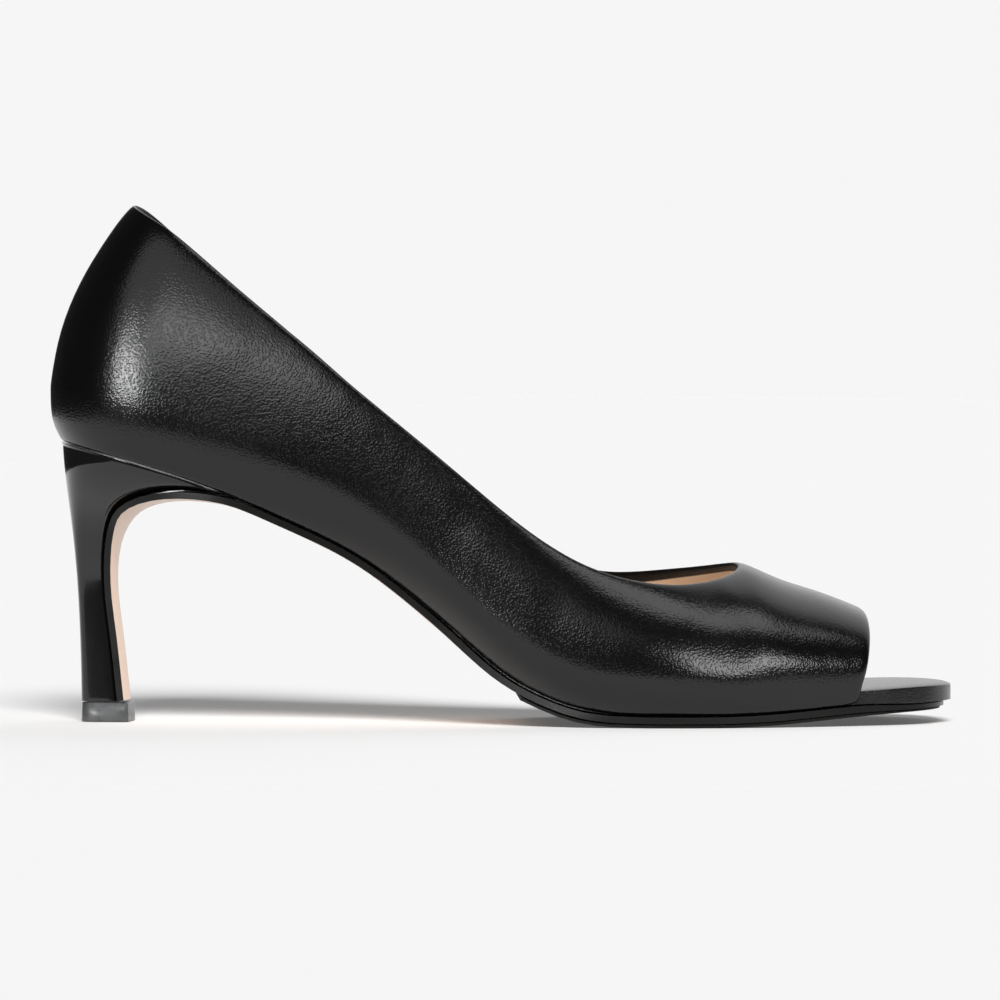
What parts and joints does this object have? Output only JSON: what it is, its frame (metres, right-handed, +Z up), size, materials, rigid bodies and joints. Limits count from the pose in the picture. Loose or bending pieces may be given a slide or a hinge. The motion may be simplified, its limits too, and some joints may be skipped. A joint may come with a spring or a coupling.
{
  "type": "peep toe pump",
  "caption": "Womens peep toe pump in black leather on a slim curved mid-height heel, hollow upper, thin sole down the heel's front; right shoe.",
  "frame": {"origin": "on the floor under the middle of the shoe's box", "axes": "+X towards the toe, +Y towards the inner side of the foot, +Z up"},
  "size_m": [0.2324, 0.083, 0.1332],
  "materials": {
    "upper_leather": "smooth black leather with a fine grain and a soft shine, tan lining inside",
    "footbed_leather": "black leather wrap over a thin pad at the toe, tan lining behind",
    "sole_leather": "pale tan underside with a black painted edge",
    "forepart_rubber": "dark matt rubber",
    "heel_gloss": "glossy black covered heel",
    "tip_plastic": "smoky grey plastic"
  },
  "bodies": {
    "root": {"upper": "upper_leather", "footbed": "footbed_leather", "outsole": "sole_leather", "forepart_sole": "forepart_rubber", "heel": "heel_gloss", "top_piece": "tip_plastic"}
  },
  "joints": []
}
